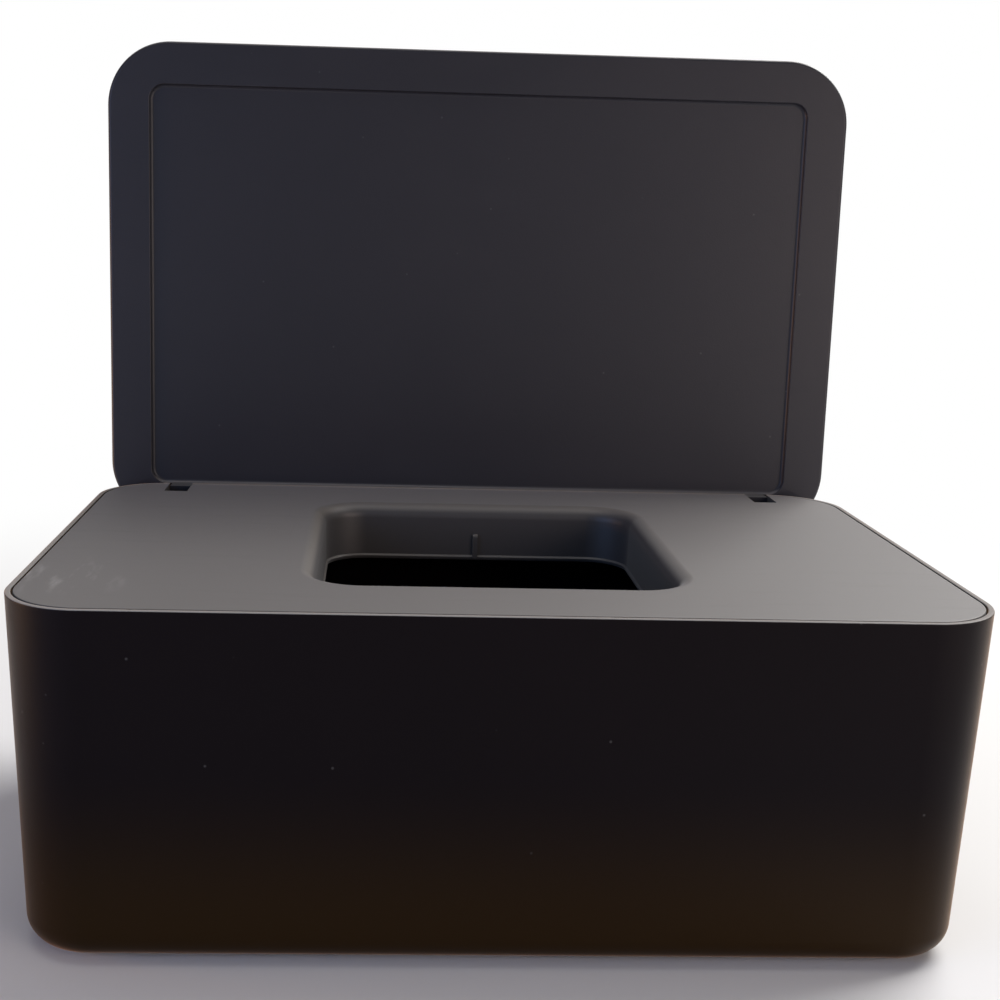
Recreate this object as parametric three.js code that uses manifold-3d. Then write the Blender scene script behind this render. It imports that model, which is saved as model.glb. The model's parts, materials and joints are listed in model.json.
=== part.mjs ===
import * as THREE from "three";
import { mergeVertices } from "three/addons/utils/BufferGeometryUtils.js";
import Module from "manifold-3d";

const wasm = await Module();
wasm.setup();

// Open household wipes dispenser: box, deck insert with a collared mouth, hinged lid, foot pads.
// Millimetres. Origin at the centre of the box's underside, +Z up, front face towards -Y.

// Box outline at the rim, and its height
const rimWidth = 188;
const rimDepth = 122;
const rimHeight = 70;
const rimCorner = 16;

// Box wall: draft, thickness, foot fillet
const draftAngle = THREE.MathUtils.degToRad(2);
const wallThickness = 2.2;
const floorThickness = 2.2;
const footFillet = 5.8;
const innerFootFillet = 3.8;

// Rim: the thin lip that frames the deck
const lipThickness = 1.2;
const lipRound = 0.4;

// Deck insert
const deckThickness = 2;
const deckEdgeRound = 0.4;
const deckGap = 0.4;
const seatGap = 0.3;

// Mouth in the deck: outline where its rolled edge meets the deck
const mouthWidth = 80;
const mouthDepth = 82;
const mouthCorner = 13;
const mouthRoll = 3.3;
const collarDepth = 13.5;
const collarWall = 1.8;
const collarDraft = 0.15;
const collarFootRound = 0.5;

// Small rib on the collar's rear wall
const ribWidth = 1.2;
const ribProud = 0.9;
const ribRise = 6.5;

// Skirt under the deck, with snap fingers that latch in pockets of the box wall
const skirtDepth = 8;
const skirtThickness = 1.4;
const fingerWidth = 10;
const fingerSlit = 1;
const barbProud = 0.8;
const barbHeight = 1.8;
const barbDrop = 2;
const barbRampShare = 0.6;
const pocketClearance = 0.3;
const fingerSpan = 96;

// Lid: a flat flap with a recessed inner panel
const lidThickness = 3.2;
const lidBorder = 10.4;
const lidRecess = 1.1;
const recessCorner = 3.2;
const recessRound = 0.45;
const lidInnerRound = 0.8;
const lidOuterRound = 1.4;
const lidGap = 0.3;
const openAngle = THREE.MathUtils.degToRad(91.7);

// Hinge: axis seen from the closed lid's rear edge and inner face, lugs from the box's sides
const axisInset = 4.4;
const axisDrop = 6.5;
const lugInset = 18;
const lugWidth = 6;
const lugClearance = 0.4;
const lugTopBelowDeck = 0.2;
const lugFrontBehindAxis = 1.4;
const barrelRadius = 3.5;
const pinRadius = 1.1;
const pinClearance = 0.3;
const pinLength = 2.2;
const cheekThickness = 2;
const cheekRadius = 3.2;
const swingClearance = 0.3;

// Rubber foot pads, set in round seats in the underside
const padRadius = 6;
const padProud = 0.8;
const padSeat = 0.8;
const padEdgeRound = 0.3;
const padInset = 20;

// Facets
const cornerSteps = 10;
const arcSteps = 5;
const roundFacets = 28;
const cutMargin = 1;
const pointTolerance = 1e-4;
const weldTolerance = 1e-5;

// Where the hinge axis lies, from the closed lid
const lidInnerFace = rimHeight + lidGap;
const axisY = rimDepth / 2 - axisInset;
const axisZ = lidInnerFace - axisDrop;
const deckUnderside = rimHeight - deckThickness;
const deckMiddle = rimHeight - deckThickness / 2;
const deckInset = lipThickness + deckGap;
const collarFoot = rimHeight - collarDepth;

// Inset of a surface that lies a given depth behind the drafted outer wall, at height z
function wallInset(z, depth) {
  return (rimHeight - z) * Math.tan(draftAngle) + depth;
}

// Rounded rectangle with its long axis along X, as points
function roundedOutline(halfX, halfY, corner) {
  const points = [];
  const centres = [[1, 1], [-1, 1], [-1, -1], [1, -1]];
  centres.forEach(([sideX, sideY], quarter) => {
    for (let step = 0; step <= cornerSteps; step += 1) {
      const angle = (quarter + step / cornerSteps) * Math.PI / 2;
      points.push(new THREE.Vector2(
        sideX * (halfX - corner) + corner * Math.cos(angle),
        sideY * (halfY - corner) + corner * Math.sin(angle),
      ));
    }
  });
  return points;
}

// Carries a profile of (inset, height) points round a rounded rectangle, and caps its two ends
function sweepRound(width, depth, corner, profile) {
  const rings = profile.map(({ x: inset, y: height }) => (
    roundedOutline(width / 2 - inset, depth / 2 - inset, corner - inset)
      .map(({ x, y }) => [x, y, height])
  ));
  const around = rings[0].length;
  const positions = [...rings.flat(), [0, 0, profile[0].y], [0, 0, profile.at(-1).y]];
  const firstCentre = rings.length * around;
  const faces = [];
  for (let i = 0; i < around; i += 1) {
    const next = (i + 1) % around;
    faces.push(firstCentre, next, i);
    for (let ring = 0; ring + 1 < rings.length; ring += 1) {
      const low = ring * around;
      const high = low + around;
      faces.push(low + i, low + next, high + next, low + i, high + next, high + i);
    }
    const last = (rings.length - 1) * around;
    faces.push(firstCentre + 1, last + i, last + next);
  }
  const geometry = new THREE.BufferGeometry();
  geometry.setAttribute("position", new THREE.Float32BufferAttribute(positions.flat(), 3));
  geometry.setIndex(faces);
  return geometry;
}

// Profile as a path: straight runs keep their ends, arcs are divided
function profilePoints(path) {
  const points = [];
  path.curves.forEach((curve) => {
    const divisions = curve.isLineCurve ? 1 : arcSteps;
    curve.getPoints(divisions).forEach((point) => {
      const last = points.at(-1);
      if (!last || last.distanceTo(point) > pointTolerance) {
        points.push(point);
      }
    });
  });
  return points;
}

function toSolid(geometry) {
  const bare = geometry.clone();
  bare.deleteAttribute("normal");
  bare.deleteAttribute("uv");
  const merged = mergeVertices(bare, weldTolerance);
  return new wasm.Manifold(new wasm.Mesh({
    numProp: 3,
    vertProperties: new Float32Array(merged.attributes.position.array),
    triVerts: new Uint32Array(merged.index.array),
  }));
}

function toGeometry(solid) {
  const { vertProperties, triVerts } = solid.getMesh();
  const geometry = new THREE.BufferGeometry();
  geometry.setAttribute("position", new THREE.BufferAttribute(vertProperties, 3));
  geometry.setIndex(new THREE.BufferAttribute(triVerts, 1));
  geometry.computeVertexNormals();
  return geometry;
}

function block(lowX, highX, lowY, highY, lowZ, highZ) {
  const geometry = new THREE.BoxGeometry(highX - lowX, highY - lowY, highZ - lowZ);
  geometry.translate((lowX + highX) / 2, (lowY + highY) / 2, (lowZ + highZ) / 2);
  return toSolid(geometry);
}

// Outline in the Y-Z plane, extruded along X from one station to another
function slabAcross(shape, fromX, toX) {
  const geometry = new THREE.ExtrudeGeometry(shape, {
    depth: toX - fromX,
    bevelEnabled: false,
    curveSegments: roundFacets / 2,
  });
  const axes = new THREE.Matrix4().makeBasis(
    new THREE.Vector3(0, 1, 0),
    new THREE.Vector3(0, 0, 1),
    new THREE.Vector3(1, 0, 0),
  );
  geometry.applyMatrix4(axes);
  geometry.translate(fromX, 0, 0);
  return toSolid(geometry);
}

function rodAcross(radius, fromX, toX) {
  const geometry = new THREE.CylinderGeometry(radius, radius, toX - fromX, roundFacets);
  geometry.rotateZ(Math.PI / 2);
  geometry.translate((fromX + toX) / 2, axisY, axisZ);
  return toSolid(geometry);
}

// Stations of the hinge lugs, foot pads and snap fingers
const lugStation = rimWidth / 2 - lugInset;
const hingeStations = [-lugStation, lugStation];
const padSpreadX = rimWidth / 2 - padInset;
const padSpreadY = rimDepth / 2 - padInset;
const padPlaces = {
  foot_pad_front_left: [-padSpreadX, -padSpreadY],
  foot_pad_front_right: [padSpreadX, -padSpreadY],
  foot_pad_rear_left: [-padSpreadX, padSpreadY],
  foot_pad_rear_right: [padSpreadX, padSpreadY],
};

// Each finger: its place along the wall, and the turn that faces it outwards from the rear wall
const fingers = [
  { along: -fingerSpan / 2, turn: 0, reach: rimDepth / 2 },
  { along: fingerSpan / 2, turn: 0, reach: rimDepth / 2 },
  { along: -fingerSpan / 2, turn: Math.PI, reach: rimDepth / 2 },
  { along: fingerSpan / 2, turn: Math.PI, reach: rimDepth / 2 },
  { along: 0, turn: Math.PI / 2, reach: rimWidth / 2 },
  { along: 0, turn: -Math.PI / 2, reach: rimWidth / 2 },
];

const skirtFoot = deckUnderside - skirtDepth;
const skirtOuter = wallInset(skirtFoot, wallThickness + seatGap);
const barbFoot = skirtFoot + barbDrop;

// A block beside a wall, from an inner to an outer inset, turned to that wall
function wallBlock({ along, turn, reach }, halfWidth, deepInset, shallowInset, lowZ, highZ) {
  const geometry = new THREE.BoxGeometry(2 * halfWidth, deepInset - shallowInset, highZ - lowZ);
  geometry.translate(along, reach - (deepInset + shallowInset) / 2, (lowZ + highZ) / 2);
  geometry.rotateZ(turn);
  return toSolid(geometry);
}

// Lip, ledge, walls and floor are one moulded shell
function makeBox() {
  const lean = Math.tan(draftAngle);
  const outerAtFoot = wallInset(0, 0);
  const outerCentre = outerAtFoot - footFillet * lean + footFillet / Math.cos(draftAngle);
  const outer = new THREE.Path();
  outer.moveTo(outerCentre, 0);
  outer.absarc(outerCentre, footFillet, footFillet, 1.5 * Math.PI, Math.PI + draftAngle, true);
  outer.lineTo(0, rimHeight - lipRound);
  outer.absarc(lipRound, rimHeight - lipRound, lipRound, Math.PI, Math.PI / 2, true);
  outer.lineTo(lipThickness - lipRound, rimHeight);
  outer.absarc(lipThickness - lipRound, rimHeight - lipRound, lipRound, Math.PI / 2, 0, true);
  const ledge = deckUnderside - seatGap;
  outer.lineTo(lipThickness, ledge);
  outer.lineTo(wallInset(ledge, wallThickness), ledge);
  const filletZ = floorThickness + innerFootFillet;
  const innerCentre = wallInset(filletZ, wallThickness) + innerFootFillet / Math.cos(draftAngle);
  outer.absarc(innerCentre, filletZ, innerFootFillet, Math.PI + draftAngle, 1.5 * Math.PI, false);
  let shell = toSolid(sweepRound(rimWidth, rimDepth, rimCorner, profilePoints(outer)));

  const rearEdgeSag = axisDrop * Math.sin(openAngle - Math.PI / 2);
  const notchFoot = axisZ - barrelRadius - rearEdgeSag - seatGap;
  const notchHalf = lugWidth / 2 + lugClearance;
  hingeStations.forEach((x) => {
    const rearInside = rimDepth / 2 - wallInset(notchFoot, wallThickness) - cutMargin;
    const rearOutside = rimDepth / 2 + cutMargin;
    const top = rimHeight + cutMargin;
    shell = shell.subtract(block(x - notchHalf, x + notchHalf, rearInside, rearOutside, notchFoot, top));
  });
  fingers.forEach((finger) => {
    shell = shell.subtract(wallBlock(
      finger,
      fingerWidth / 2 + pocketClearance,
      skirtOuter + cutMargin,
      skirtOuter - barbProud - pocketClearance,
      barbFoot - pocketClearance,
      barbFoot + barbHeight + pocketClearance,
    ));
  });
  Object.values(padPlaces).forEach(([x, y]) => {
    const seat = new THREE.CylinderGeometry(
      padRadius + seatGap, padRadius + seatGap, padSeat + cutMargin, roundFacets,
    );
    seat.rotateX(Math.PI / 2);
    seat.translate(x, y, (padSeat - cutMargin) / 2);
    shell = shell.subtract(toSolid(seat));
  });
  return toGeometry(shell);
}

// Deck plate, collar, skirt, fingers and hinge cheeks are one moulding
function makeDeck() {
  const plate = new THREE.Path();
  plate.moveTo(deckInset, deckUnderside);
  plate.lineTo(deckInset, rimHeight - deckEdgeRound);
  plate.absarc(
    deckInset + deckEdgeRound, rimHeight - deckEdgeRound, deckEdgeRound, Math.PI, Math.PI / 2, true,
  );
  let deck = toSolid(sweepRound(rimWidth, rimDepth, rimCorner, profilePoints(plate)));

  const collarOuter = mouthRoll - collarWall;
  const collar = new THREE.Path();
  collar.moveTo(collarOuter + collarFootRound, collarFoot);
  collar.lineTo(collarOuter, collarFoot + collarFootRound);
  collar.lineTo(collarOuter, deckMiddle);
  deck = deck.add(toSolid(sweepRound(mouthWidth, mouthDepth, mouthCorner, profilePoints(collar))));

  const mouth = new THREE.Path();
  const throat = mouthRoll + collarDraft;
  mouth.moveTo(throat - collarFootRound, collarFoot - cutMargin);
  mouth.lineTo(throat - collarFootRound, collarFoot);
  mouth.absarc(
    throat - collarFootRound, collarFoot + collarFootRound, collarFootRound, 1.5 * Math.PI, 2 * Math.PI, false,
  );
  mouth.lineTo(mouthRoll, rimHeight - mouthRoll);
  mouth.absarc(0, rimHeight - mouthRoll, mouthRoll, 0, Math.PI / 2, false);
  mouth.lineTo(0, rimHeight + cutMargin);
  deck = deck.subtract(toSolid(sweepRound(mouthWidth, mouthDepth, mouthCorner, profilePoints(mouth))));

  const ribFace = mouthDepth / 2 - mouthRoll;
  const ribRoot = collarWall / 2;
  const rib = new THREE.Shape();
  rib.moveTo(ribFace + ribRoot, collarFoot);
  rib.lineTo(ribFace + ribRoot, collarFoot + ribRise + ribRoot);
  rib.lineTo(ribFace, collarFoot + ribRise);
  rib.absarc(ribFace, collarFoot + ribRise - ribProud, ribProud, Math.PI / 2, Math.PI, false);
  rib.lineTo(ribFace - ribProud, collarFoot);
  deck = deck.add(slabAcross(rib, -ribWidth / 2, ribWidth / 2));

  const skirtSolid = (inset) => toSolid(sweepRound(rimWidth, rimDepth, rimCorner, [
    new THREE.Vector2(inset, skirtFoot),
    new THREE.Vector2(inset, deckMiddle),
  ]));
  const skirtBore = toSolid(sweepRound(rimWidth, rimDepth, rimCorner, [
    new THREE.Vector2(skirtOuter + skirtThickness, skirtFoot - cutMargin),
    new THREE.Vector2(skirtOuter + skirtThickness, rimHeight),
  ]));
  deck = deck.add(skirtSolid(skirtOuter).subtract(skirtBore));

  fingers.forEach((finger) => {
    const slitMiddle = fingerWidth / 2 + fingerSlit / 2;
    [-slitMiddle, slitMiddle].forEach((shift) => {
      deck = deck.subtract(wallBlock(
        { ...finger, along: finger.along + shift },
        fingerSlit / 2,
        skirtOuter + skirtThickness + cutMargin,
        skirtOuter - cutMargin,
        skirtFoot - cutMargin,
        deckUnderside,
      ));
    });
    const barb = new THREE.Shape();
    const reach = finger.reach - skirtOuter;
    const barbRoot = reach - skirtThickness / 2;
    barb.moveTo(barbRoot, barbFoot);
    barb.lineTo(reach, barbFoot);
    barb.lineTo(reach + barbProud, barbFoot + barbHeight * barbRampShare);
    barb.lineTo(reach + barbProud, barbFoot + barbHeight);
    barb.lineTo(barbRoot, barbFoot + barbHeight);
    const half = fingerWidth / 2;
    const hook = slabAcross(barb, finger.along - half, finger.along + half);
    deck = deck.add(hook.rotate([0, 0, THREE.MathUtils.radToDeg(finger.turn)]));
  });

  const lugReach = axisDrop - lidGap - lugTopBelowDeck;
  const sweepRadius = Math.hypot(lugReach, lugFrontBehindAxis);
  const slotHalf = lugWidth / 2 + lugClearance;
  const cheekFootInset = wallInset(axisZ - cheekRadius, wallThickness);
  const innerCorner = rimCorner - cheekFootInset;
  const intoCorner = Math.max(0, rimCorner - lugInset + slotHalf + cheekThickness);
  const cornerSag = innerCorner - Math.sqrt(innerCorner ** 2 - intoCorner ** 2);
  const cheekRear = rimDepth / 2 - cheekFootInset - cornerSag - seatGap;
  hingeStations.forEach((x) => {
    deck = deck.subtract(block(
      x - slotHalf, x + slotHalf,
      axisY - sweepRadius - lugClearance, rimDepth / 2,
      skirtFoot - cutMargin, rimHeight + cutMargin,
    ));
    const cheek = new THREE.Shape();
    cheek.moveTo(cheekRear, deckMiddle);
    cheek.lineTo(axisY - cheekRadius, deckMiddle);
    cheek.lineTo(axisY - cheekRadius, axisZ);
    const rearAngle = Math.acos((cheekRear - axisY) / cheekRadius);
    cheek.absarc(axisY, axisZ, cheekRadius, Math.PI, 2 * Math.PI - rearAngle, false);
    cheek.lineTo(cheekRear, deckMiddle);
    [-1, 1].forEach((side) => {
      const face = x + side * slotHalf;
      const back = face + side * cheekThickness;
      const tip = face - side * pinLength;
      deck = deck.add(slabAcross(cheek, Math.min(face, back), Math.max(face, back)));
      deck = deck.add(rodAcross(pinRadius, Math.min(tip, back), Math.max(tip, back)));
    });
  });
  return toGeometry(deck);
}

// Lid as it lies closed: border, recessed panel and two lugs that reach down to the hinge axis
function makeLid() {
  const top = lidInnerFace + lidThickness;
  const slab = new THREE.Path();
  slab.moveTo(lidInnerRound, lidInnerFace);
  slab.absarc(lidInnerRound, lidInnerFace + lidInnerRound, lidInnerRound, 1.5 * Math.PI, Math.PI, true);
  slab.lineTo(0, top - lidOuterRound);
  slab.absarc(lidOuterRound, top - lidOuterRound, lidOuterRound, Math.PI, Math.PI / 2, true);
  let lid = toSolid(sweepRound(rimWidth, rimDepth, rimCorner, profilePoints(slab)));

  const panel = lidInnerFace + lidRecess;
  const recess = new THREE.Path();
  recess.moveTo(0, lidInnerFace - cutMargin);
  recess.lineTo(0, panel - recessRound);
  recess.absarc(recessRound, panel - recessRound, recessRound, Math.PI, Math.PI / 2, true);
  lid = lid.subtract(toSolid(sweepRound(
    rimWidth - 2 * lidBorder, rimDepth - 2 * lidBorder, recessCorner, profilePoints(recess),
  )));

  // Scoop concentric with the hinge: the rim's rear corner passes through it as the lid swings
  const scoopRadius = Math.hypot(axisInset, rimHeight - axisZ) + swingClearance;
  lid = lid.subtract(rodAcross(scoopRadius, -rimWidth / 2 - cutMargin, rimWidth / 2 + cutMargin));

  const lugReach = axisDrop - lidGap - lugTopBelowDeck;
  const lugRoot = axisZ + scoopRadius + cutMargin / 2;
  const lug = new THREE.Shape();
  lug.moveTo(axisY + barrelRadius, lugRoot);
  lug.lineTo(axisY - lugReach, lugRoot);
  lug.lineTo(axisY - lugReach, axisZ + lugFrontBehindAxis);
  const frontAngle = Math.PI - Math.asin(lugFrontBehindAxis / barrelRadius);
  lug.absarc(axisY, axisZ, barrelRadius, frontAngle, 2 * Math.PI, false);
  const half = lugWidth / 2;
  hingeStations.forEach((x) => {
    lid = lid.add(slabAcross(lug, x - half, x + half));
    const bore = rodAcross(pinRadius + pinClearance, x - half - cutMargin, x + half + cutMargin);
    lid = lid.subtract(bore);
  });
  return toGeometry(lid).translate(0, -axisY, -axisZ);
}

// A pad is a turned disc, bedded in its seat and standing proud of the underside
function makePad() {
  const profile = new THREE.Path();
  profile.moveTo(0, -padProud);
  profile.lineTo(padRadius - padEdgeRound, -padProud);
  profile.absarc(
    padRadius - padEdgeRound, padEdgeRound - padProud, padEdgeRound, 1.5 * Math.PI, 2 * Math.PI, false,
  );
  profile.lineTo(padRadius, padSeat - seatGap);
  profile.lineTo(0, padSeat - seatGap);
  const turned = new THREE.LatheGeometry(profilePoints(profile), roundFacets);
  turned.rotateX(Math.PI / 2);
  return toGeometry(toSolid(turned));
}

const charcoal = () => new THREE.MeshStandardMaterial({ color: 0x242326, roughness: 0.5, metalness: 0 });
const rubber = () => new THREE.MeshStandardMaterial({ color: 0x18181a, roughness: 0.85, metalness: 0 });

function piece(name, geometry, material) {
  const mesh = new THREE.Mesh(geometry, material);
  mesh.name = name;
  return mesh;
}

const dispenser = new THREE.Group();
dispenser.add(piece("box_body", makeBox(), charcoal()));
dispenser.add(piece("inner_deck", makeDeck(), charcoal()));

const lidHinge = new THREE.Group();
lidHinge.position.set(0, axisY, axisZ);
lidHinge.rotation.x = -openAngle;
lidHinge.add(piece("lid", makeLid(), charcoal()));
dispenser.add(lidHinge);

Object.entries(padPlaces).forEach(([name, [x, y]]) => {
  const pad = piece(name, makePad(), rubber());
  pad.position.set(x, y, 0);
  dispenser.add(pad);
});

export default dispenser;
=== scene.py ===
"""An open wipes dispenser: the box, the deck insert with its mouth, the hinged lid and the foot pads."""

import json
import math

import bpy
from mathutils import Matrix, Vector


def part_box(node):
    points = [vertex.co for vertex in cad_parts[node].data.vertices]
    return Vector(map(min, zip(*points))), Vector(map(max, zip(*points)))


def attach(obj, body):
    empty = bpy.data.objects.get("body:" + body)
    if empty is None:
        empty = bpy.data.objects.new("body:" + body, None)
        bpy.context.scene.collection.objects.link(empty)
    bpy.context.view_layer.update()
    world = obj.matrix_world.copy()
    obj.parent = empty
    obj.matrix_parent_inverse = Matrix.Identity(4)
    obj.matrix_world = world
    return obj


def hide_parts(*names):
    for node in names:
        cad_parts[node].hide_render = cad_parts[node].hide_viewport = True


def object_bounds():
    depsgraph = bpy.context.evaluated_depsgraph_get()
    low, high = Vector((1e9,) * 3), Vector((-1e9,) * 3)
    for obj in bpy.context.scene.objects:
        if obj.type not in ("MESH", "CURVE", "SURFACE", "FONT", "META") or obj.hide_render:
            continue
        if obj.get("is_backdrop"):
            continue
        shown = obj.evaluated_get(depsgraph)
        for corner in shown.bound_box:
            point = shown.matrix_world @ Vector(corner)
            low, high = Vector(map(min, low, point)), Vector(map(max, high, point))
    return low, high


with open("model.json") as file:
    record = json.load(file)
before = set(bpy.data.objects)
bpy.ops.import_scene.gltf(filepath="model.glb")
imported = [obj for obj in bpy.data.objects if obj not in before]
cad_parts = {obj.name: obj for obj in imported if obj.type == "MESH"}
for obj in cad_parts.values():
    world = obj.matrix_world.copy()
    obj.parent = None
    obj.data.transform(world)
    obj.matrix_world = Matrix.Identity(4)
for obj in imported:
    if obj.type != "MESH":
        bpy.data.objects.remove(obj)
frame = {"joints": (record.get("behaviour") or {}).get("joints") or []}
cad_low, cad_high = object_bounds()

# Box body: one moulded shell of charcoal plastic, with drafted walls, a round foot and a thin lip
# that frames the deck. The rear rim is notched for the lid's lugs, the walls have pockets for the
# deck's snap fingers, and the underside has round seats for the pads.
box_low, box_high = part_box("box_body")
rim_width = box_high.x - box_low.x
rim_depth = box_high.y - box_low.y
rim_height = box_high.z
rim_corner = 0.016
draft = math.radians(2)
lean = math.tan(draft)
wall_thickness = 0.0022
floor_thickness = 0.0022
foot_fillet = 0.0058
inner_foot_fillet = 0.0038
lip_thickness = 0.0012
lip_round = 0.0003
deck_thickness = 0.002
seat_gap = 0.0003
corner_steps = 26


def wall_inset(height, depth=0.0):
    """How far in from the rim a wall's face lies at a height."""
    return (rim_height - height) * lean + depth


def arc(centre_inset, centre_height, radius, start, end, steps=8):
    """Points of a circle's arc between two angles in degrees."""
    points = []
    for step in range(steps + 1):
        angle = math.radians(start + (end - start) * step / steps)
        inset = centre_inset + radius * math.cos(angle)
        points.append((inset, centre_height + radius * math.sin(angle)))
    return points


def rounded_ring(width, depth, corner, inset, height):
    """A level rectangle with round corners, drawn in from its full size by an inset."""
    ring = []
    radius = corner - inset
    for quarter, (side_x, side_y) in enumerate([(1, 1), (-1, 1), (-1, -1), (1, -1)]):
        for step in range(corner_steps + 1):
            angle = (quarter + step / corner_steps) * math.pi / 2
            x = side_x * (width / 2 - corner) + radius * math.cos(angle)
            y = side_y * (depth / 2 - corner) + radius * math.sin(angle)
            ring.append((x, y, height))
    return ring


def rim_rings(profile):
    """Carries a profile of (inset, height) round the box's rim."""
    return [rounded_ring(rim_width, rim_depth, rim_corner, *point) for point in profile]


def moulding(name, rings, endless=False):
    """Skins a run of rings, and closes it with flat ends or by joining the last ring to the first."""
    around = len(rings[0])
    vertices = [point for ring in rings for point in ring]
    faces = []
    spans = len(rings) if endless else len(rings) - 1
    for span in range(spans):
        low = span * around
        high = (span + 1) % len(rings) * around
        for i in range(around):
            j = (i + 1) % around
            faces.append((low + i, low + j, high + j, high + i))
    if not endless:
        faces.append(tuple(reversed(range(around))))
        last = (len(rings) - 1) * around
        faces.append(tuple(range(last, last + around)))
    mesh = bpy.data.meshes.new(name)
    mesh.from_pydata(vertices, [], faces)
    mesh.validate()
    shape = bpy.data.objects.new(name, mesh)
    bpy.context.scene.collection.objects.link(shape)
    return shape


def tool_block(low, high, turn=0.0):
    """A block between two corners, turned about the upright axis."""
    spans = list(zip(low, high))
    corners = [(x, y, z) for x in spans[0] for y in spans[1] for z in spans[2]]
    faces = [(0, 1, 3, 2), (4, 6, 7, 5), (0, 4, 5, 1), (2, 3, 7, 6), (0, 2, 6, 4), (1, 5, 7, 3)]
    mesh = bpy.data.meshes.new("tool")
    mesh.from_pydata(corners, [], faces)
    mesh.transform(Matrix.Rotation(turn, 4, "Z"))
    return mesh


def tool_slab(outline, low_x, high_x, turn=0.0):
    """A closed outline in Y and Z, run from one X to another."""
    count = len(outline)
    corners = [(x, y, z) for x in (low_x, high_x) for y, z in outline]
    faces = [tuple(reversed(range(count))), tuple(range(count, 2 * count))]
    for i in range(count):
        j = (i + 1) % count
        faces.append((i, j, count + j, count + i))
    mesh = bpy.data.meshes.new("tool")
    mesh.from_pydata(corners, [], faces)
    mesh.transform(Matrix.Rotation(turn, 4, "Z"))
    mesh.update()
    return mesh


def machine(shape, tools, operation):
    """Cuts the tools out of a moulding, or joins them to it."""
    for mesh in tools:
        tool = bpy.data.objects.new("tool", mesh)
        bpy.context.scene.collection.objects.link(tool)
        step = shape.modifiers.new("machine", "BOOLEAN")
        step.operation = operation
        step.solver = "EXACT"
        step.object = tool
        bpy.context.view_layer.objects.active = shape
        bpy.ops.object.modifier_apply(modifier=step.name)
        bpy.data.objects.remove(tool)
        bpy.data.meshes.remove(mesh)


def finish_surface(shape, crease=38):
    """Smooth faces, with true edges kept where the surface turns sharply."""
    mesh = shape.data
    mesh.polygons.foreach_set("use_smooth", [True] * len(mesh.polygons))
    mesh.set_sharp_from_angle(angle=math.radians(crease))
    even = shape.modifiers.new("even", "WEIGHTED_NORMAL")
    even.keep_sharp = True
    even.weight = 60


outer_centre = wall_inset(0) - foot_fillet * lean + foot_fillet / math.cos(draft)
box_profile = arc(outer_centre, foot_fillet, foot_fillet, 270, 180 + math.degrees(draft), 14)
box_profile += arc(lip_round, rim_height - lip_round, lip_round, 180, 90, 5)
box_profile += arc(lip_thickness - lip_round, rim_height - lip_round, lip_round, 90, 0, 5)
ledge = rim_height - deck_thickness - seat_gap
box_profile.append((lip_thickness, ledge))
box_profile.append((wall_inset(ledge, wall_thickness), ledge))
inner_centre_height = floor_thickness + inner_foot_fillet
inner_centre = wall_inset(inner_centre_height, wall_thickness) + inner_foot_fillet / math.cos(draft)
wall_angle = 180 + math.degrees(draft)
box_profile += arc(inner_centre, inner_centre_height, inner_foot_fillet, wall_angle, 270, 8)
box_shell = moulding("box_shell", rim_rings(box_profile))

hinge = frame["joints"][0]
axis_y, axis_z = hinge["pos_m"][1:]
open_angle = math.radians(hinge["range_deg"][1])
lid_gap = 0.0003
axis_drop = rim_height + lid_gap - axis_z
axis_inset = rim_depth / 2 - axis_y
lug_from_side = 0.0184
lug_station = rim_width / 2 - lug_from_side
lug_width = 0.0052
lug_clearance = 0.0003
barrel_radius = 0.0035
slot_half = lug_width / 2 + lug_clearance
overshoot = 0.001
notch_foot = axis_z - barrel_radius - axis_drop * math.sin(open_angle - math.pi / 2) - seat_gap
notch_inside = rim_depth / 2 - wall_inset(notch_foot, wall_thickness) - overshoot
box_cuts = []
for station in (-lug_station, lug_station):
    low = (station - slot_half, notch_inside, notch_foot)
    high = (station + slot_half, rim_depth / 2 + overshoot, rim_height + overshoot)
    box_cuts.append(tool_block(low, high))

skirt_depth = 0.008
skirt_foot = rim_height - deck_thickness - skirt_depth
skirt_outer = wall_inset(skirt_foot, wall_thickness + seat_gap)
finger_width = 0.010
barb_proud = 0.0008
barb_height = 0.0018
barb_rise = 0.002
barb_foot = skirt_foot + barb_rise
finger_span = 0.096
finger_places = [
    (-finger_span / 2, 0.0, rim_depth / 2),
    (finger_span / 2, 0.0, rim_depth / 2),
    (-finger_span / 2, math.pi, rim_depth / 2),
    (finger_span / 2, math.pi, rim_depth / 2),
    (0.0, math.pi / 2, rim_width / 2),
    (0.0, -math.pi / 2, rim_width / 2),
]
for along, turn, reach in finger_places:
    half = finger_width / 2 + seat_gap
    skirt_face = reach - skirt_outer
    low = (along - half, skirt_face - overshoot, barb_foot - seat_gap)
    high = (along + half, skirt_face + barb_proud + seat_gap, barb_foot + barb_height + seat_gap)
    box_cuts.append(tool_block(low, high, turn))


def turned_disc(name, profile, centre_x, centre_y, facets=64):
    """A profile of (radius, height) turned about an upright axis, with flat ends."""
    rings = []
    for radius, height in profile:
        turn = [2 * math.pi * i / facets for i in range(facets)]
        ring = [(centre_x + radius * math.cos(a), centre_y + radius * math.sin(a), height) for a in turn]
        rings.append(ring)
    return moulding(name, rings)


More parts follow.
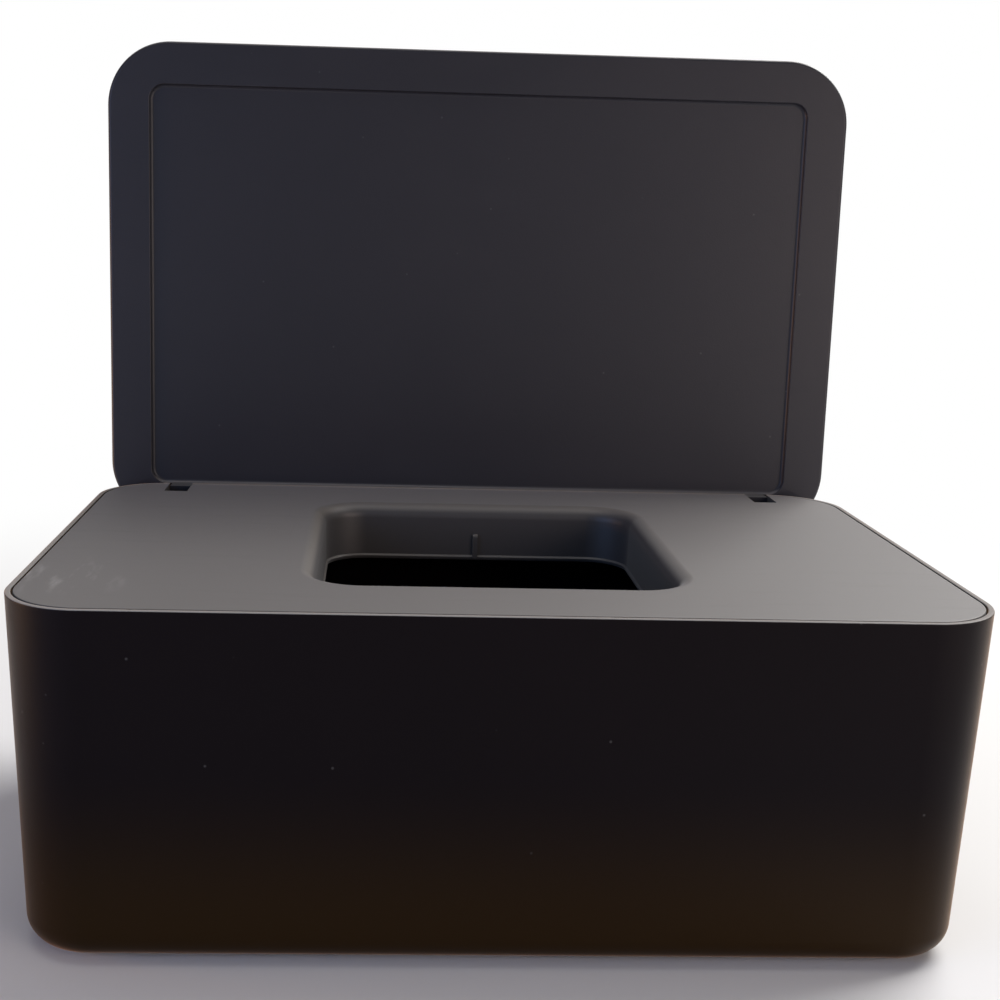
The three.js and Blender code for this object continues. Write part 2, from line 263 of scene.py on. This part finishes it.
pad_radius = 0.006
pad_seat = 0.0008
pad_names = ["foot_pad_front_left", "foot_pad_front_right", "foot_pad_rear_left", "foot_pad_rear_right"]
pad_places = {}
for name in pad_names:
    low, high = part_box(name)
    pad_places[name] = ((low.x + high.x) / 2, (low.y + high.y) / 2, low.z)
for centre_x, centre_y, _ in pad_places.values():
    seat_radius = pad_radius + seat_gap
    seat = turned_disc("seat", [(seat_radius, -overshoot), (seat_radius, pad_seat)], centre_x, centre_y)
    box_cuts.append(seat.data.copy())
    bpy.data.objects.remove(seat)
machine(box_shell, box_cuts, "DIFFERENCE")
finish_surface(box_shell)


def add_sockets(group, inputs, outputs):
    """Gives a node group its named number sockets, and places its two end nodes."""
    for name in inputs:
        group.interface.new_socket(name, in_out="INPUT", socket_type="NodeSocketFloat")
    for name in outputs:
        group.interface.new_socket(name, in_out="OUTPUT", socket_type="NodeSocketFloat")
    return group.nodes.new("NodeGroupInput"), group.nodes.new("NodeGroupOutput")


def add_noise(tree, vector, detail, roughness):
    """Soft noise laid out by a vector."""
    noise = tree.nodes.new("ShaderNodeTexNoise")
    noise.inputs["Detail"].default_value = detail
    noise.inputs["Roughness"].default_value = roughness
    tree.links.new(vector, noise.inputs["Vector"])
    return noise


def add_ramp(tree, value, start, end, low=0.0, high=1.0, smooth=False):
    """Carries a value from one range to another, and holds it there."""
    ramp = tree.nodes.new("ShaderNodeMapRange")
    if smooth:
        ramp.interpolation_type = "SMOOTHSTEP"
    ramp.inputs["From Min"].default_value = start
    ramp.inputs["From Max"].default_value = end
    ramp.inputs["To Min"].default_value = low
    ramp.inputs["To Max"].default_value = high
    tree.links.new(value, ramp.inputs["Value"])
    return ramp.outputs["Result"]


def add_product(tree, first, second):
    """Two masks multiplied."""
    product = tree.nodes.new("ShaderNodeMath")
    product.operation = "MULTIPLY"
    tree.links.new(first, product.inputs[0])
    tree.links.new(second, product.inputs[1])
    return product.outputs["Value"]


def add_colour_mix(tree, share, under, over):
    """One colour laid over another by a mask. The one under it may be a colour or a socket."""
    mix = tree.nodes.new("ShaderNodeMix")
    mix.data_type = "RGBA"
    tree.links.new(share, mix.inputs["Factor"])
    if isinstance(under, tuple):
        mix.inputs["A"].default_value = (*under, 1)
    else:
        tree.links.new(under, mix.inputs["A"])
    mix.inputs["B"].default_value = (*over, 1)
    return mix.outputs["Result"]


def moulded_grain_group():
    """Fine spark-eroded mould texture: a height for the bump and a slow drift of tone."""
    group = bpy.data.node_groups.new("moulded_grain", "ShaderNodeTree")
    given, out = add_sockets(group, ["Grain Scale", "Drift Scale"], ["Height", "Drift"])
    place = group.nodes.new("ShaderNodeTexCoord")
    grain = add_noise(group, place.outputs["Object"], detail=3, roughness=0.62)
    drift = add_noise(group, place.outputs["Object"], detail=4, roughness=0.55)
    group.links.new(given.outputs["Grain Scale"], grain.inputs["Scale"])
    group.links.new(given.outputs["Drift Scale"], drift.inputs["Scale"])
    group.links.new(grain.outputs["Fac"], out.inputs["Height"])
    group.links.new(drift.outputs["Fac"], out.inputs["Drift"])
    return group


def handling_marks_group():
    """Faint streaks from rubbing and pale specks that a used plastic box picks up."""
    group = bpy.data.node_groups.new("handling_marks", "ShaderNodeTree")
    given, out = add_sockets(group, ["Streak Scale", "Speck Scale"], ["Streaks", "Specks"])
    place = group.nodes.new("ShaderNodeTexCoord")
    slant = group.nodes.new("ShaderNodeMapping")
    slant.inputs["Rotation"].default_value = (0.3, 0.2, 0.7)
    slant.inputs["Scale"].default_value = (1.0, 9.0, 6.0)
    group.links.new(place.outputs["Object"], slant.inputs["Vector"])
    streak = add_noise(group, slant.outputs["Vector"], detail=5, roughness=0.7)
    group.links.new(given.outputs["Streak Scale"], streak.inputs["Scale"])
    speck = group.nodes.new("ShaderNodeTexVoronoi")
    group.links.new(place.outputs["Object"], speck.inputs["Vector"])
    group.links.new(given.outputs["Speck Scale"], speck.inputs["Scale"])
    streaks = add_ramp(group, streak.outputs["Fac"], 0.56, 0.78)
    specks = add_ramp(group, speck.outputs["Distance"], 0.045, 0.02)
    group.links.new(streaks, out.inputs["Streaks"])
    group.links.new(specks, out.inputs["Specks"])
    return group


moulded_grain = moulded_grain_group()
handling_marks = handling_marks_group()


def charcoal_plastic(name, dark, light, painted_top_light, rough_low, rough_high, gloss, grain_depth):
    """Satin moulded plastic: slow drift of tone, fine grain, streaks from rubbing and a few pale specks.
    Faces that look up get a lighter colour, a painted highlight of the light from above."""
    material = bpy.data.materials.new(name)
    material.use_nodes = True
    tree = material.node_tree
    nodes, links = tree.nodes, tree.links
    shader = nodes["Principled BSDF"]
    shader.inputs["Specular IOR Level"].default_value = gloss
    grain = nodes.new("ShaderNodeGroup")
    grain.node_tree = moulded_grain
    grain.inputs["Grain Scale"].default_value = 2600
    grain.inputs["Drift Scale"].default_value = 22
    marks = nodes.new("ShaderNodeGroup")
    marks.node_tree = handling_marks
    marks.inputs["Streak Scale"].default_value = 34
    marks.inputs["Speck Scale"].default_value = 130
    surface = nodes.new("ShaderNodeTexCoord")
    facing = nodes.new("ShaderNodeSeparateXYZ")
    links.new(surface.outputs["Normal"], facing.inputs["Vector"])
    tone = add_colour_mix(tree, grain.outputs["Drift"], under=dark, over=light)
    faint_specks = add_ramp(tree, marks.outputs["Specks"], 0.0, 1.0, high=0.3)
    speckled = add_colour_mix(tree, faint_specks, under=tone, over=(0.12, 0.12, 0.12))
    # Faces that look up take a lighter colour, a painted highlight of the light falling from above.
    upward = add_ramp(tree, facing.outputs["Z"], 0.45, 0.8)
    top_lit_colour = add_colour_mix(tree, upward, under=speckled, over=painted_top_light)
    links.new(top_lit_colour, shader.inputs["Base Color"])
    rough = add_ramp(tree, marks.outputs["Streaks"], 0.0, 1.0, rough_low, rough_high)
    links.new(rough, shader.inputs["Roughness"])
    bump = nodes.new("ShaderNodeBump")
    bump.inputs["Strength"].default_value = 0.35
    bump.inputs["Distance"].default_value = grain_depth
    links.new(grain.outputs["Height"], bump.inputs["Height"])
    links.new(bump.outputs["Normal"], shader.inputs["Normal"])
    return material


# The box's dark and light tones are set far darker than the same charcoal plastic of the deck and lid:
# painted shade on the box's walls.
box_plastic = charcoal_plastic(
    "box_plastic",
    dark=(0.0020, 0.0009, 0.0020),
    light=(0.0036, 0.0018, 0.0032),
    # The lighter colour of faces that look up: painted highlight of light from above.
    painted_top_light=(0.210, 0.205, 0.200),
    rough_low=0.40,
    rough_high=0.48,
    gloss=0.08,
    grain_depth=0.00004,
)
box_tree = box_plastic.node_tree
box_shader = box_tree.nodes["Principled BSDF"]
box_shader.inputs["Sheen Weight"].default_value = 0.3
box_shader.inputs["Sheen Roughness"].default_value = 0.28
box_shader.inputs["Sheen Tint"].default_value = (1.0, 0.60, 0.34, 1)
# The walls turn a little browner from this height down to the foot: a painted warm reflection of the
# floor below.
warm_from = 0.040
warm_full = 0.004
painted_floor_reflection = (0.0180, 0.0092, 0.0024)
plastic_with_top_light = box_shader.inputs["Base Color"].links[0].from_socket
box_surface = box_tree.nodes.new("ShaderNodeTexCoord")
box_place = box_tree.nodes.new("ShaderNodeSeparateXYZ")
box_tree.links.new(box_surface.outputs["Object"], box_place.inputs["Vector"])
nearness = add_ramp(box_tree, box_place.outputs["Z"], warm_from, warm_full, smooth=True)
floor_reflected_colour = add_colour_mix(box_tree, nearness, under=plastic_with_top_light, over=painted_floor_reflection)
box_tree.links.new(floor_reflected_colour, box_shader.inputs["Base Color"])
box_shell.data.materials.clear()
box_shell.data.materials.append(box_plastic)
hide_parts("box_body")
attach(box_shell, "box")

# Inner deck: a one-piece moulded insert, flush inside the lip. Its mouth has a rolled edge and a
# collar with a small rib, its skirt latches in the walls with snap fingers, and two cheeks under
# each rear slot carry the stubs on which the lid turns.
deck_gap = 0.0003
deck_edge_round = 0.00025
mouth_width = 0.080
mouth_depth = 0.082
mouth_corner = 0.013
mouth_roll = 0.0033
collar_depth = 0.0135
collar_wall = 0.0018
collar_draft = 0.00015
collar_foot_round = 0.0005
foot_bead = 0.0004
skirt_thickness = 0.0014


def mouth_rings(profile):
    """Carries a profile of (inset, height) round the mouth."""
    return [rounded_ring(mouth_width, mouth_depth, mouth_corner, *point) for point in profile]


deck_underside = rim_height - deck_thickness
deck_inset = lip_thickness + deck_gap
collar_foot = rim_height - collar_depth
throat = mouth_roll + collar_draft
edge_profile = [(deck_inset, deck_underside)]
edge_profile += arc(
    deck_inset + deck_edge_round, rim_height - deck_edge_round, deck_edge_round, 180, 90, 5
)
mouth_profile = arc(0, rim_height - mouth_roll, mouth_roll, 90, 0, 12)
mouth_profile += [
    (throat, collar_foot + 3 * foot_bead),
    (throat + foot_bead, collar_foot + 2 * foot_bead),
    (throat + foot_bead, collar_foot + collar_foot_round),
]
mouth_profile += arc(
    throat + foot_bead - collar_foot_round, collar_foot + collar_foot_round, collar_foot_round, 0, -90, 4
)[1:]
collar_outer = mouth_roll - collar_wall
mouth_profile += [
    (collar_outer + collar_foot_round, collar_foot),
    (collar_outer, collar_foot + collar_foot_round),
    (collar_outer, deck_underside),
]
skirt_inner = skirt_outer + skirt_thickness
skirt_profile = [
    (skirt_inner, deck_underside),
    (skirt_inner, skirt_foot),
    (skirt_outer, skirt_foot),
    (skirt_outer, deck_underside),
]
deck_rings = rim_rings(edge_profile) + mouth_rings(mouth_profile) + rim_rings(skirt_profile)
deck_insert = moulding("deck_insert", deck_rings, endless=True)

lug_below_face = 0.0002
lug_reach = axis_drop - lid_gap - lug_below_face
lug_front_behind_axis = 0.0014
slot_front = axis_y - math.hypot(lug_reach, lug_front_behind_axis) - lug_clearance
deck_cuts = []
for station in (-lug_station, lug_station):
    low = (station - slot_half, slot_front, skirt_foot - overshoot)
    high = (station + slot_half, rim_depth / 2, rim_height + overshoot)
    deck_cuts.append(tool_block(low, high))
finger_slit = 0.001
for along, turn, reach in finger_places:
    for side in (-1, 1):
        middle = along + side * (finger_width + finger_slit) / 2
        low = (middle - finger_slit / 2, reach - skirt_inner - overshoot, skirt_foot - overshoot)
        high = (middle + finger_slit / 2, reach - skirt_outer + overshoot, deck_underside)
        deck_cuts.append(tool_block(low, high, turn))
machine(deck_insert, deck_cuts, "DIFFERENCE")

rib_width = 0.0012
rib_proud = 0.0009
rib_rise = 0.0065
rib_back = mouth_depth / 2 - mouth_roll
rib_outline = [
    (rib_back + collar_wall / 2, collar_foot + collar_foot_round),
    (rib_back + collar_wall / 2, collar_foot + rib_rise + collar_wall / 2),
]
rib_outline += arc(rib_back, collar_foot + rib_rise - rib_proud, rib_proud, 90, 180, 6)
rib_outline.append((rib_back - rib_proud, collar_foot + collar_foot_round))
deck_joins = [tool_slab(rib_outline, -rib_width / 2, rib_width / 2)]
barb_ramp_share = 0.6
for along, turn, reach in finger_places:
    face = reach - skirt_outer
    barb_outline = [
        (face - skirt_thickness / 2, barb_foot),
        (face, barb_foot),
        (face + barb_proud, barb_foot + barb_ramp_share * barb_height),
        (face + barb_proud, barb_foot + barb_height),
        (face - skirt_thickness / 2, barb_foot + barb_height),
    ]
    half = finger_width / 2
    deck_joins.append(tool_slab(barb_outline, along - half, along + half, turn))

pin_radius = 0.0011
pin_length = 0.0022
cheek_thickness = 0.002
cheek_radius = 0.0032
cheek_foot_inset = wall_inset(axis_z - cheek_radius, wall_thickness)
inner_corner = rim_corner - cheek_foot_inset
into_corner = lug_station + slot_half + cheek_thickness - (rim_width / 2 - rim_corner)
corner_sag = inner_corner - math.sqrt(inner_corner**2 - into_corner**2)
cheek_rear = rim_depth / 2 - cheek_foot_inset - corner_sag - seat_gap
rear_angle = 360 - math.degrees(math.acos((cheek_rear - axis_y) / cheek_radius))
cheek_outline = [(cheek_rear, deck_underside + deck_thickness / 2)]
cheek_outline.append((axis_y - cheek_radius, deck_underside + deck_thickness / 2))
cheek_outline += arc(axis_y, axis_z, cheek_radius, 180, rear_angle, 20)
pin_outline = arc(axis_y, axis_z, pin_radius, 0, 350, 35)
for station in (-lug_station, lug_station):
    for side in (-1, 1):
        face = station + side * slot_half
        back = face + side * cheek_thickness
        tip = face - side * pin_length
        deck_joins.append(tool_slab(cheek_outline, min(face, back), max(face, back)))
        deck_joins.append(tool_slab(pin_outline, min(tip, back), max(tip, back)))
machine(deck_insert, deck_joins, "UNION")
finish_surface(deck_insert)

deck_plastic = charcoal_plastic(
    "deck_plastic",
    dark=(0.026, 0.025, 0.027),
    light=(0.036, 0.034, 0.036),
    # The lighter colour of faces that look up: painted highlight of light from above.
    painted_top_light=(0.090, 0.082, 0.076),
    rough_low=0.52,
    rough_high=0.58,
    gloss=0.6,
    grain_depth=0.00005,
)
deck_tree = deck_plastic.node_tree
deck_shader = deck_tree.nodes["Principled BSDF"]
deck_shader.inputs["Sheen Weight"].default_value = 0.16
deck_shader.inputs["Sheen Roughness"].default_value = 0.4
# A few pale scuffs, drawn out from front to back, near the deck's front left corner.
scuff_centre = Vector((-0.085, -0.036, 0.07))
scuff_radius = 0.019
scuff_core = 0.003
plastic_with_top_light = deck_shader.inputs["Base Color"].links[0].from_socket
deck_surface = deck_tree.nodes.new("ShaderNodeTexCoord")
scuff_place = deck_tree.nodes.new("ShaderNodeMapping")
scuff_place.inputs["Location"].default_value = -scuff_centre
deck_tree.links.new(deck_surface.outputs["Object"], scuff_place.inputs["Vector"])
scuff_reach = deck_tree.nodes.new("ShaderNodeVectorMath")
scuff_reach.operation = "LENGTH"
deck_tree.links.new(scuff_place.outputs["Vector"], scuff_reach.inputs[0])
scuff_stretch = deck_tree.nodes.new("ShaderNodeMapping")
scuff_stretch.inputs["Scale"].default_value = (2.6, 0.6, 1.0)
deck_tree.links.new(deck_surface.outputs["Object"], scuff_stretch.inputs["Vector"])
scuff_smear = add_noise(deck_tree, scuff_stretch.outputs["Vector"], detail=3, roughness=0.5)
scuff_smear.inputs["Scale"].default_value = 150
scuff_near = add_ramp(deck_tree, scuff_reach.outputs["Value"], scuff_radius, scuff_core, smooth=True)
scuff_marks = add_ramp(deck_tree, scuff_smear.outputs["Fac"], 0.55, 0.72, high=0.6)
scuff_share = add_product(deck_tree, scuff_near, scuff_marks)
scuffed = add_colour_mix(deck_tree, scuff_share, under=plastic_with_top_light, over=(0.24, 0.23, 0.22))
deck_tree.links.new(scuffed, deck_shader.inputs["Base Color"])
deck_insert.data.materials.clear()
deck_insert.data.materials.append(deck_plastic)
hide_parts("inner_deck")
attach(deck_insert, "box")

# Lid: a flat one-piece moulded flap as large as the rim, shown open. Its inner face has a border
# round a shallow recess, two lugs bored for the stubs reach down to the hinge axis, and a scoop
# along the hinge side lets the box's rim pass as the lid swings.
lid_thickness = 0.0032
lid_border = 0.0104
lid_recess = 0.0011
recess_corner = 0.0038
recess_round = 0.0009
border_round = 0.00025
lid_inner_round = 0.0008
lid_outer_round = 0.0014
pin_clearance = 0.0003
swing_clearance = 0.0003

lid_face = rim_height + lid_gap
lid_top = lid_face + lid_thickness
lid_panel = lid_face + lid_recess
panel_width = rim_width - 2 * lid_border
panel_depth = rim_depth - 2 * lid_border
panel_profile = [(recess_round, lid_panel)]
panel_profile += arc(recess_round, lid_panel - recess_round, recess_round, 90, 180, 5)[1:]
panel_profile += arc(-border_round, lid_face + border_round, border_round, 0, -90, 4)
panel_rings = [rounded_ring(panel_width, panel_depth, recess_corner, *p) for p in panel_profile]
flap_profile = arc(lid_inner_round, lid_face + lid_inner_round, lid_inner_round, 270, 180, 8)
flap_profile += arc(lid_outer_round, lid_top - lid_outer_round, lid_outer_round, 180, 90, 10)
lid_flap = moulding("lid_flap", panel_rings + rim_rings(flap_profile))

scoop_radius = math.hypot(axis_inset, rim_height - axis_z) + swing_clearance
scoop_outline = arc(axis_y, axis_z, scoop_radius, 0, 355, 71)
machine(lid_flap, [tool_slab(scoop_outline, -rim_width, rim_width)], "DIFFERENCE")
lug_root = axis_z + scoop_radius + overshoot / 2
front_angle = 180 - math.degrees(math.asin(lug_front_behind_axis / barrel_radius))
lug_outline = [
    (axis_y + barrel_radius, lug_root),
    (axis_y - lug_reach, lug_root),
    (axis_y - lug_reach, axis_z + lug_front_behind_axis),
]
lug_outline += arc(axis_y, axis_z, barrel_radius, front_angle, 360, 24)
bore_outline = arc(axis_y, axis_z, pin_radius + pin_clearance, 0, 350, 35)
lugs = []
bores = []
for station in (-lug_station, lug_station):
    half = lug_width / 2
    lugs.append(tool_slab(lug_outline, station - half, station + half))
    bores.append(tool_slab(bore_outline, station - half - overshoot, station + half + overshoot))
machine(lid_flap, lugs, "UNION")
machine(lid_flap, bores, "DIFFERENCE")
finish_surface(lid_flap)
to_axis = Matrix.Translation((0, axis_y, axis_z))
opened = to_axis @ Matrix.Rotation(-open_angle, 4, "X") @ to_axis.inverted()
lid_flap.data.transform(opened)

lid_plastic = charcoal_plastic(
    "lid_plastic",
    dark=(0.0130, 0.0140, 0.0200),
    light=(0.0210, 0.0208, 0.0265),
    # The lighter colour of faces that look up: painted highlight of light from above.
    painted_top_light=(0.110, 0.105, 0.105),
    rough_low=0.42,
    rough_high=0.50,
    gloss=0.30,
    grain_depth=0.00005,
)
lid_flap.data.materials.clear()
lid_flap.data.materials.append(lid_plastic)
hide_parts("lid")
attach(lid_flap, "lid")

# Foot pads: four moulded rubber discs, glued in round seats under the box's corners. Each has two
# shallow grip rings in its tread, and stands a little proud of the flat underside.
pad_rubber = bpy.data.materials.new("pad_rubber")
pad_rubber.use_nodes = True
rubber_tree = pad_rubber.node_tree
rubber_shader = rubber_tree.nodes["Principled BSDF"]
rubber_shader.inputs["Roughness"].default_value = 0.8
rubber_grain = rubber_tree.nodes.new("ShaderNodeGroup")
rubber_grain.node_tree = moulded_grain
rubber_grain.inputs["Grain Scale"].default_value = 1800
rubber_grain.inputs["Drift Scale"].default_value = 90
rubber_dark = (0.010, 0.010, 0.011)
rubber_light = (0.030, 0.029, 0.029)
rubber_tone = add_colour_mix(rubber_tree, rubber_grain.outputs["Drift"], rubber_dark, rubber_light)
rubber_tree.links.new(rubber_tone, rubber_shader.inputs["Base Color"])
rubber_bump = rubber_tree.nodes.new("ShaderNodeBump")
rubber_bump.inputs["Strength"].default_value = 0.5
rubber_bump.inputs["Distance"].default_value = 0.00006
rubber_tree.links.new(rubber_grain.outputs["Height"], rubber_bump.inputs["Height"])
rubber_tree.links.new(rubber_bump.outputs["Normal"], rubber_shader.inputs["Normal"])

pad_top = pad_seat - seat_gap
pad_edge = 0.0003
tread_middle = 0.0008
ring_depth = 0.0003
ring_radii = (0.0020, 0.0040)
ring_half_top = 0.0005
ring_half_foot = 0.0003
for name, (centre_x, centre_y, pad_foot) in pad_places.items():
    tread = [(tread_middle, pad_foot)]
    for ring_radius in ring_radii:
        tread += [
            (ring_radius - ring_half_top, pad_foot),
            (ring_radius - ring_half_foot, pad_foot + ring_depth),
            (ring_radius + ring_half_foot, pad_foot + ring_depth),
            (ring_radius + ring_half_top, pad_foot),
        ]
    tread += arc(pad_radius - pad_edge, pad_foot + pad_edge, pad_edge, 270, 360, 4)
    tread.append((pad_radius, pad_top))
    pad = turned_disc(name + "_rubber", tread, centre_x, centre_y)
    finish_surface(pad)
    pad.data.materials.append(pad_rubber)
    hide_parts(name)
    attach(pad, "box")

# Floor: a plain pale floor that the box stands on and that keeps its shadow. Away from the box it
# fades to the white of the room, for the camera alone, so that no horizon shows.
floor_half = 6.0
floor_grey = (0.64, 0.64, 0.64, 1)
fade_start = 0.12
fade_end = 0.42
floor_mesh = bpy.data.meshes.new("floor")
floor_sides = [(-1, -1), (1, -1), (1, 1), (-1, 1)]
floor_corners = [(x * floor_half, y * floor_half, cad_low.z) for x, y in floor_sides]
floor_mesh.from_pydata(floor_corners, [], [(0, 1, 2, 3)])
floor = bpy.data.objects.new("floor", floor_mesh)
bpy.context.scene.collection.objects.link(floor)
floor_paint = bpy.data.materials.new("floor_paint")
floor_paint.use_nodes = True
floor_tree = floor_paint.node_tree
floor_shader = floor_tree.nodes["Principled BSDF"]
floor_shader.inputs["Base Color"].default_value = floor_grey
floor_shader.inputs["Roughness"].default_value = 0.9
floor_place = floor_tree.nodes.new("ShaderNodeTexCoord")
floor_reach = floor_tree.nodes.new("ShaderNodeVectorMath")
floor_reach.operation = "LENGTH"
floor_tree.links.new(floor_place.outputs["Object"], floor_reach.inputs[0])
floor_fade = add_ramp(floor_tree, floor_reach.outputs["Value"], fade_start, fade_end, smooth=True)
floor_ray = floor_tree.nodes.new("ShaderNodeLightPath")
floor_share = add_product(floor_tree, floor_fade, floor_ray.outputs["Is Camera Ray"])
floor_white = floor_tree.nodes.new("ShaderNodeEmission")
floor_blend = floor_tree.nodes.new("ShaderNodeMixShader")
floor_tree.links.new(floor_share, floor_blend.inputs["Fac"])
floor_tree.links.new(floor_shader.outputs["BSDF"], floor_blend.inputs[1])
floor_tree.links.new(floor_white.outputs["Emission"], floor_blend.inputs[2])
floor_tree.links.new(floor_blend.outputs["Shader"], floor_tree.nodes["Material Output"].inputs["Surface"])
floor_mesh.materials.append(floor_paint)
floor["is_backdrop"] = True

# Light: a broad soft key lamp above and behind to the right that rakes the deck, a weak one
# overhead, a warm and a cool fill at the front, a low warm one at the left, and an even pale room.
# The camera sees the room as white.
room_level = 0.20
room = bpy.data.worlds.new("room")
bpy.context.scene.world = room
room.use_nodes = True
room_shader = room.node_tree.nodes["Background"]
room_shader.inputs["Color"].default_value = (1, 1, 1, 1)
room_ray = room.node_tree.nodes.new("ShaderNodeLightPath")
room_strength = add_ramp(room.node_tree, room_ray.outputs["Is Camera Ray"], 0.0, 1.0, low=room_level)
room.node_tree.links.new(room_strength, room_shader.inputs["Strength"])


def soft_lamp(name, place, target, size, watts, colour):
    """A rectangular area lamp at one place, turned to a target."""
    data = bpy.data.lights.new(name, "AREA")
    data.shape = "RECTANGLE"
    data.size, data.size_y = size
    data.energy = watts
    data.color = colour
    lamp = bpy.data.objects.new(name, data)
    bpy.context.scene.collection.objects.link(lamp)
    lamp.location = place
    lamp.rotation_mode = "QUATERNION"
    lamp.rotation_quaternion = (Vector(target) - Vector(place)).to_track_quat("-Z", "Y")


soft_lamp("key", (0.80, 0.60, 1.10), (0, 0, 0.06), (1.0, 0.8), 31, (1.0, 0.985, 0.97))
soft_lamp("top", (-0.10, -0.15, 1.30), (0, 0, 0.06), (0.45, 0.45), 2, (1.0, 0.985, 0.97))
soft_lamp("warm fill", (0.55, -0.55, 0.20), (0.06, 0, 0.10), (0.5, 0.35), 2.9, (1.0, 0.82, 0.75))
soft_lamp("cool fill", (-0.55, -0.42, 0.22), (-0.06, 0, 0.13), (0.5, 0.35), 1.7, (0.30, 0.50, 1.0))
soft_lamp("low warm fill", (-0.60, -0.03, 0.06), (-0.08, -0.02, 0.03), (0.2, 0.1), 1.4, (1.0, 0.52, 0.22))

# Camera: a close view from a little above the open box and left of its middle, as in the
# photograph. The angles are in radians, and the focal length is a share of the sensor's width.
camera_place = Vector((-0.0248, -0.31027, 0.14136))
yaw = 0.0411
pitch = 0.1990
roll = 0.0276
focal_share = 1.43906
sensor = 36.0
forward = Vector((math.sin(yaw) * math.cos(pitch), math.cos(yaw) * math.cos(pitch), -math.sin(pitch)))
level_right = Vector((math.cos(yaw), -math.sin(yaw), 0))
level_up = level_right.cross(forward)
right = level_right * math.cos(roll) + level_up * math.sin(roll)
up = level_up * math.cos(roll) - level_right * math.sin(roll)
camera_data = bpy.data.cameras.new("camera")
camera_data.sensor_width = sensor
camera_data.lens = focal_share * sensor
camera_data.shift_x = 0.06607
camera_data.shift_y = 0.00123
camera_data.clip_start = 0.01
camera = bpy.data.objects.new("camera", camera_data)
bpy.context.scene.collection.objects.link(camera)
turn = Matrix((right, up, -forward)).transposed()
camera.matrix_world = Matrix.Translation(camera_place) @ turn.to_4x4()
bpy.context.scene.camera = camera
bpy.context.scene.view_settings.view_transform = "Standard"

low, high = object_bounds()
